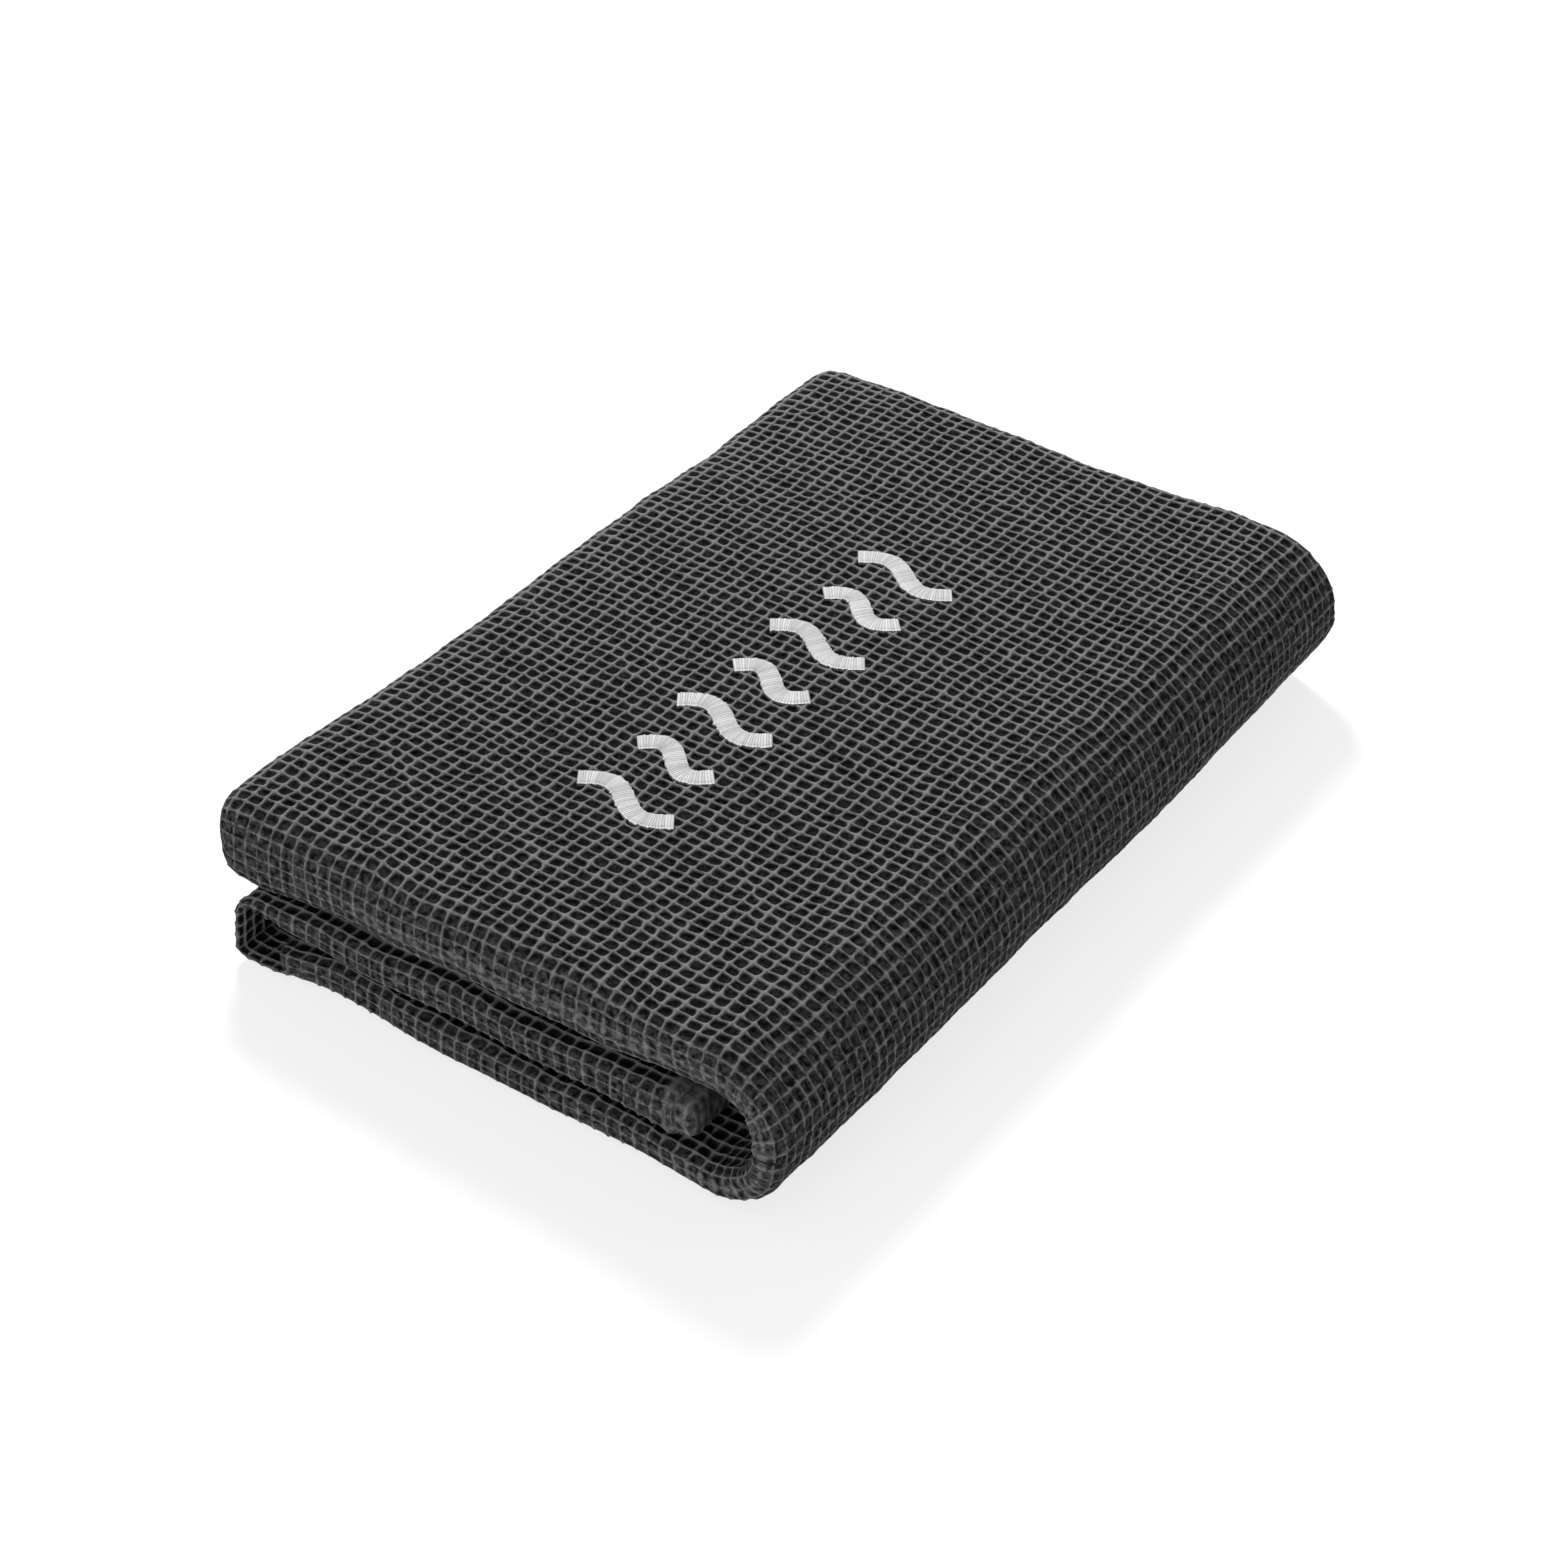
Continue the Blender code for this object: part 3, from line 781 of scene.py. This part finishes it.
flapPlan = {
    **flapShape,
    "alongCells": flapShape["leftCells"] + flapCells + flapShape["rightCells"],
    "acrossCells": cellsAcross,
    "frontInset": 0.0,
    "farInset": 0.0010,
    "stations": flapStations,
    "settle": settleFlap,
    "band": lambda along, across, side: smooth(along, flapCells - 0.1, flapCells + 0.9),
    "fray": 0.00008,
    "sideShade": lambda along: 0 * along,
    "seed": 300,
}
flapPack = buildPack("flapPack", flapPlan)
print("flap pack", len(flapPack.data.polygons), "faces")

innerFlapShape = {
    "leftCells": 1,
    "rightCells": 1,
    "power": (3.0, 3.0),
    "reach": 0.85,
    "endReach": 0.45,
    "strip": [(0.066, 0.0284, 0.0120), (0.076, 0.0284, 0.0120), (0.0925, 0.0284, 0.0116)],
}
innerStations, innerCells = stripStations(innerFlapShape["strip"], 1)
innerFlapPlan = {
    **innerFlapShape,
    "alongCells": 2 + innerCells,
    "acrossCells": cellsAcross - 1,
    "frontInset": 0.0015,
    "farInset": 0.0042,
    "stations": innerStations,
    "settle": settleFlap,
    "band": lambda along, across, side: smooth(along, innerCells - 1, innerCells),
    "fray": 0.00008,
    "sideShade": lambda along: 0 * along,
    "seed": 400,
}
innerFlap = buildPack("flapInnerPlies", innerFlapPlan)
print("inner plies of the flap", len(innerFlap.data.polygons), "faces")


stitch = {
    "pitch": 0.00085,  # between two threads
    "crown": 0.00040,  # how far the middle of a stroke stands above the ridges of the cloth
    "edge": -0.0002,  # height of the thread ends
    "thread": 0.00020,  # how far a thread stands above its groove
    "ragged": 0.00030,  # how far thread ends differ
    "across": 11,  # points across a stroke
    "floor": 0.0016,  # how deep a stroke's underside lies in the cloth
    "width": 0.0085,  # of a stroke
    "swing": 0.0055,  # of a stroke's wave, to each side
}


def buildStroke(name, node, number):
    # A stroke follows one sine wave along X. Each thread lies square to it and is sin to the 0.7
    # across, and the stroke is a dome, 1 less the fifth power of the distance from its middle line.
    low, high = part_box(node)
    centre, size = (low + high) / 2, high - low
    random = np.random.default_rng(50 + number)
    threads = int(size.x / stitch["pitch"])
    shares = (np.arange(threads)[:, None] + np.array([0.0, 0.18, 0.5, 0.82])).ravel() / threads
    shares = np.concatenate([shares, [1.0]])
    inThread = (shares * threads) % 1
    crown = np.sin(math.pi * inThread) ** 0.7
    ends = random.normal(0, 1, (2, threads + 1)) * stitch["ragged"] / 2
    shine = random.uniform(0.66, 1.0, threads + 1)
    which = np.minimum((shares * threads).astype(int), threads - 1)
    turn = 2 * math.pi * shares
    steep = stitch["swing"] * 2 * math.pi / size.x * np.cos(turn)
    scale = 1 / np.hypot(1.0, steep)
    across = np.linspace(-1, 1, stitch["across"])[None, :]
    halfWidth = stitch["width"] / 2 + np.where(across < 0, ends[0][which][:, None], ends[1][which][:, None])
    offset = across * halfWidth
    x = centre.x + (shares[:, None] - 0.5) * size.x - steep[:, None] * scale[:, None] * offset
    y = centre.y + stitch["swing"] * np.sin(turn)[:, None] + scale[:, None] * offset
    dome = (1 - np.abs(across) ** 5) * np.minimum(1, np.sin(math.pi * shares) * 12)[:, None] ** 0.5
    level = stitch["edge"] + dome * (stitch["crown"] - stitch["edge"])
    level = level + ((crown - 1) * stitch["thread"])[:, None] * (0.3 + 0.7 * dome)
    surface = settleCover(np.stack([x, y, stackHeight + level], -1), 1)
    floor = settleCover(np.stack([x, y, np.full_like(x, stackHeight - stitch["floor"])], -1), 1)
    rows, columns = x.shape
    index = np.arange(rows * columns).reshape(rows, columns)
    under = index + rows * columns

    def faces(i):
        return np.stack([i[:-1, :-1], i[1:, :-1], i[1:, 1:], i[:-1, 1:]], -1).reshape(-1, 4)

    ring = np.concatenate([index[:-1, 0], index[-1, :-1], index[:0:-1, -1], index[0, :0:-1]])
    nextOne = np.roll(ring, -1)
    wall = np.stack([ring, ring + rows * columns, nextOne + rows * columns, nextOne], -1)
    quads = np.concatenate([faces(index)[:, ::-1], faces(under), wall])
    points = np.concatenate([surface.reshape(-1, 3), floor.reshape(-1, 3)])
    mesh = buildMesh(name, points, quads, np.zeros((0, 3), int))
    # half grey in a groove, as painted shade between threads, times a random tone a thread
    crowns = np.repeat((0.5 + 0.5 * crown) * shine[which], columns)
    addPoints(mesh, "thread", "FLOAT", np.concatenate([crowns, crowns * 0]))
    addPoints(mesh, "weaveAt", "FLOAT_VECTOR", points)
    mesh.shade_smooth()
    piece = addPiece(name, mesh, satinStitch)
    signed = (points[quads[:, 0]] * np.cross(points[quads[:, 1]], points[quads[:, 2]])).sum()
    if signed < 0:
        mesh.flip_normals()
    return piece


strokes = []
for number in range(1, 8):
    node = f"embroidered_wave_{number}"
    strokes.append(buildStroke(f"waveStitch{number}", node, number))
    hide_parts(node)
print("embroidery", len(strokes), "strokes")

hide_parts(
    "cover_outer_ply",
    "cover_second_ply",
    "cover_third_ply",
    "cover_inner_ply",
    "spine_outer_ply",
    "spine_inner_plies",
)
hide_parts("base_outer_ply", "base_inner_ply", "spine_outer_ply", "spine_inner_plies")
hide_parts("flap_outer_ply", "left_fold_ply")
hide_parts("flap_inner_ply")
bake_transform(coverPack)
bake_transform(basePack)
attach(flapPack, "base")
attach(innerFlap, "base")
for piece in strokes:
    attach(piece, "cover")

carried = {
    "base_hem": "hemCloth",
    "flap_hem": "hemCloth",
    "cover_hem": "hemCloth",
    "base_hem_thread": "sewingThread",
    "flap_hem_thread": "sewingThread",
    "cover_hem_thread": "sewingThread",
    "embroidery_backing": "backingCloth",
    "care_label": "labelSatin",
}
for node, cloth in carried.items():
    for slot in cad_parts[node].material_slots:
        slot.material = plainCloths[cloth]
print("pieces joined to their bodies")


floor = {"half": 16.0, "level": -0.0002, "dark": 0.19, "light": 0.21, "glow": 0.76}


def addFloor():
    # One square of pale paper, a hair under the lowest point of the cloth.
    mesh = bpy.data.meshes.new("studioFloor")
    half, level = floor["half"], floor["level"]
    corners = [(-half, -half, level), (half, -half, level), (half, half, level), (-half, half, level)]
    mesh.from_pydata(corners, [], [(0, 1, 2, 3)])
    constants = {"Roughness": 0.9, "Specular IOR Level": 0.1}
    constants |= {"Emission Color": (1, 1, 1, 1), "Emission Strength": floor["glow"]}
    material, shader, tree = newFinish("floorPaper", constants)
    place = tree.node("TexCoord", out="Object")
    grain = tree.node("TexNoise", None, {"Vector": place, "Scale": 3.0})
    plug(shader, tree, {"Base Color": grain.blend(grey(floor["dark"]), grey(floor["light"]))})
    addPiece("studioFloor", mesh, material)


camera = {
    "target": (0.0355, -0.064, 0.068),
    "azimuth": math.radians(36.5),
    "elevation": math.radians(37.8),
    "distance": 1.218,
    "lens": 76.15,
    "sensor": 36.0,
}


def aimed(place, ahead):
    # The matrix of a camera or a light at a place, looking ahead with its top upwards.
    return Matrix.Translation(place) @ ahead.to_track_quat("-Z", "Y").to_matrix().to_4x4()


def addCamera():
    # Stands at its distance from the target, at its azimuth and elevation.
    turn, rise = camera["azimuth"], camera["elevation"]
    ahead = Vector((-math.sin(turn), math.cos(turn), 0)) * math.cos(rise) - Vector((0, 0, math.sin(rise)))
    data = bpy.data.cameras.new("camera")
    data.lens, data.sensor_width = camera["lens"], camera["sensor"]
    data.clip_start, data.clip_end = 0.01, 60
    made = bpy.data.objects.new("camera", data)
    made.matrix_world = aimed(Vector(camera["target"]) - ahead * camera["distance"], ahead)
    bpy.context.scene.collection.objects.link(made)
    bpy.context.scene.camera = made


light = {
    "distance": 3.0,
    "target": (0, 0, 0.03),
    "sky": 0.7,
    # turn is from straight behind the cloth, seen by the camera, to the left
    "backKey": {"turn": math.radians(8), "rise": math.radians(43), "size": 0.7, "power": 150},
    "frontFill": {"turn": math.radians(140), "rise": math.radians(12), "size": 1.4, "power": 34},
}


def addLight(name):
    # A round soft light on a sphere about the cloth, at its turn and rise.
    own = light[name]
    around = camera["azimuth"] + own["turn"]
    flat = Vector((-math.sin(around), math.cos(around), 0)) * math.cos(own["rise"])
    place = (flat + Vector((0, 0, math.sin(own["rise"])))) * light["distance"]
    data = bpy.data.lights.new(name, "AREA")
    data.shape, data.size, data.energy = "DISK", own["size"], own["power"]
    made = bpy.data.objects.new(name, data)
    made.matrix_world = aimed(place, Vector(light["target"]) - place)
    bpy.context.scene.collection.objects.link(made)


addFloor()
addCamera()
addLight("backKey")
addLight("frontFill")
sky = bpy.data.worlds.new("sky")
sky.use_nodes = True
sky.node_tree.nodes["Background"].inputs["Color"].default_value = (1, 1, 1, 1)
sky.node_tree.nodes["Background"].inputs["Strength"].default_value = light["sky"]
bpy.context.scene.world = sky
bpy.context.scene.view_settings.view_transform = "Standard"
print("floor, light and camera placed")
